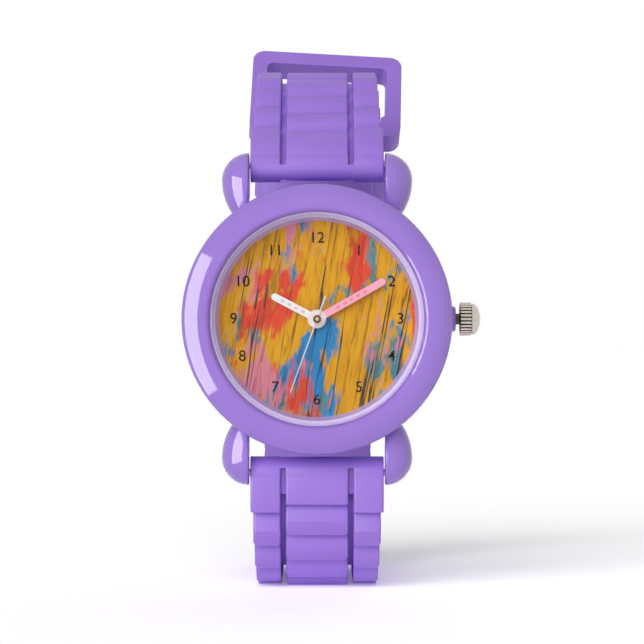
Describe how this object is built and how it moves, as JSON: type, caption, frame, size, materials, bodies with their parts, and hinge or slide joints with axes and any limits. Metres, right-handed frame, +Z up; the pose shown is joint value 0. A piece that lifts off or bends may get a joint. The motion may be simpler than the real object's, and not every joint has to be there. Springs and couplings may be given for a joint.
{
  "type": "child's analogue wristwatch",
  "caption": "Child's quartz wristwatch with a round moulded case on teardrop lugs, a link-look elastomer strap, frame buckle, pull-out crown and turning hands.",
  "frame": {"origin": "middle of the flat under the lower strap curl, on the plane that the watch stands on, straight under the dial axis in X", "axes": "+Z up towards twelve o'clock, +Y from the dial to the caseback, +X towards the crown at three o'clock"},
  "size_m": [0.0351, 0.048, 0.0673],
  "materials": {
    "case_abs": "glossy moulded ABS",
    "lens_clear": "clear",
    "gasket_rubber": "matt",
    "dial_print": "printed",
    "hand_white": "satin enamel",
    "hand_pink": "satin enamel",
    "hand_silver": "satin",
    "wheel_brass": "polished",
    "wheel_acetal": "moulded acetal",
    "motor_steel": "stamped",
    "coil_copper": "enamelled copper wire",
    "board_green": "solder mask",
    "can_steel": "drawn",
    "contact_brass": "stamped",
    "movement_plastic": "moulded",
    "pin_steel": "turned",
    "crown_nickel": "polished nickel",
    "back_steel": "brushed",
    "strap_tpu": "matt moulded TPU",
    "buckle_abs": "satin moulded"
  },
  "bodies": {
    "case": {"case_body": "case_abs", "lens": "lens_clear", "lens_gasket": "gasket_rubber", "dial": "dial_print", "stator": "motor_steel", "coil": "coil_copper", "circuit_board": "board_green", "quartz_can": "can_steel", "battery": "can_steel", "battery_strap": "contact_brass", "main_plate": "movement_plastic", "train_bridge": "movement_plastic", "movement_ring": "movement_plastic", "caseback": "back_steel", "caseback_gasket": "gasket_rubber", "spring_bars": "pin_steel"},
    "hour": {"hour_hand": "hand_white", "hour_wheel": "wheel_brass"},
    "minute": {"minute_hand": "hand_pink", "cannon_pinion": "wheel_brass"},
    "second": {"second_hand": "hand_silver", "second_wheel": "wheel_brass"},
    "minute_wheel": {"minute_wheel": "wheel_acetal"},
    "setting_wheel": {"setting_wheel": "wheel_acetal"},
    "intermediate": {"intermediate_wheel": "wheel_acetal"},
    "rotor": {"rotor": "motor_steel"},
    "stem_slide": {"setting_lever": "motor_steel"},
    "crown": {"crown": "crown_nickel", "stem": "pin_steel", "crown_gasket": "gasket_rubber"},
    "yoke": {"yoke": "motor_steel"},
    "clutch": {"clutch_wheel": "wheel_acetal"},
    "strap_12": {"strap_12": "strap_tpu"},
    "strap_6": {"strap_6": "strap_tpu", "buckle_pin": "pin_steel"},
    "buckle": {"buckle_frame": "buckle_abs"},
    "prong": {"prong": "pin_steel"},
    "keeper": {"keeper": "strap_tpu"}
  },
  "joints": [
    {"name": "strap_6_swing", "type": "hinge", "parent": "case", "child": "strap_6", "pos_m": [0, -0.01715, 0.01401], "axis": [-1, 0, 0], "range_deg": [0, 75]},
    {"name": "strap_12_swing", "type": "hinge", "parent": "case", "child": "strap_12", "pos_m": [0, -0.01715, 0.05021], "axis": [1, 0, 0], "range_deg": [0, 35]},
    {"name": "buckle_swing", "type": "hinge", "parent": "strap_6", "child": "buckle", "pos_m": [0.00092, 0.01246, 0.05629], "axis": [-0.9983, -0.0216, 0.0534], "range_deg": [-55, 15]},
    {"name": "prong_lift", "type": "hinge", "parent": "buckle", "child": "prong", "pos_m": [0.00092, 0.01246, 0.05629], "axis": [-0.9983, -0.0216, 0.0534], "range_deg": [0, 40]},
    {"name": "keeper_slide", "type": "slide", "parent": "strap_6", "child": "keeper", "axis": [0.0576, -0.374, 0.9256], "range_m": [-0.0035, 0]},
    {"name": "crown_pull", "type": "slide", "parent": "case", "child": "stem_slide", "axis": [1, 0, 0], "range_m": [-0.0004, 0]},
    {"name": "crown_turn", "type": "hinge", "parent": "stem_slide", "child": "crown", "pos_m": [0.0168, -0.01665, 0.03211], "axis": [1, 0, 0], "continuous": true},
    {"name": "yoke_slide", "type": "slide", "parent": "case", "child": "yoke", "axis": [1, 0, 0], "range_m": [0, 0.0004]},
    {"name": "clutch_turn", "type": "hinge", "parent": "yoke", "child": "clutch", "pos_m": [0.00578, -0.01665, 0.03211], "axis": [1, 0, 0], "continuous": true},
    {"name": "setting_wheel_turn", "type": "hinge", "parent": "case", "child": "setting_wheel", "pos_m": [0.00421, -0.01775, 0.03211], "axis": [0, 1, 0], "continuous": true},
    {"name": "minute_wheel_turn", "type": "hinge", "parent": "case", "child": "minute_wheel", "pos_m": [0.00154, -0.01775, 0.03395], "axis": [0, 1, 0], "continuous": true},
    {"name": "minute_turn", "type": "hinge", "parent": "case", "child": "minute", "pos_m": [0, -0.01815, 0.03211], "axis": [0, 1, 0], "continuous": true},
    {"name": "hour_turn", "type": "hinge", "parent": "case", "child": "hour", "pos_m": [0, -0.01815, 0.03211], "axis": [0, 1, 0], "continuous": true},
    {"name": "second_turn", "type": "hinge", "parent": "case", "child": "second", "pos_m": [0, -0.01815, 0.03211], "axis": [0, 1, 0], "continuous": true},
    {"name": "intermediate_turn", "type": "hinge", "parent": "case", "child": "intermediate", "pos_m": [-0.00094, -0.01665, 0.03388], "axis": [0, 1, 0], "continuous": true},
    {"name": "rotor_turn", "type": "hinge", "parent": "case", "child": "rotor", "pos_m": [-0.00258, -0.01665, 0.03432], "axis": [0, 1, 0], "continuous": true}
  ],
  "couplings": [
    {"joint": "yoke_slide", "follows": "crown_pull", "ratio": -1},
    {"joint": "clutch_turn", "follows": "crown_turn", "ratio": 1},
    {"joint": "setting_wheel_turn", "follows": "crown_turn", "ratio": 0.75},
    {"joint": "minute_wheel_turn", "follows": "crown_turn", "ratio": -0.6},
    {"joint": "minute_turn", "follows": "crown_turn", "ratio": 1.8},
    {"joint": "hour_turn", "follows": "crown_turn", "ratio": 0.15},
    {"joint": "intermediate_turn", "follows": "second_turn", "ratio": -4},
    {"joint": "rotor_turn", "follows": "second_turn", "ratio": 30}
  ]
}
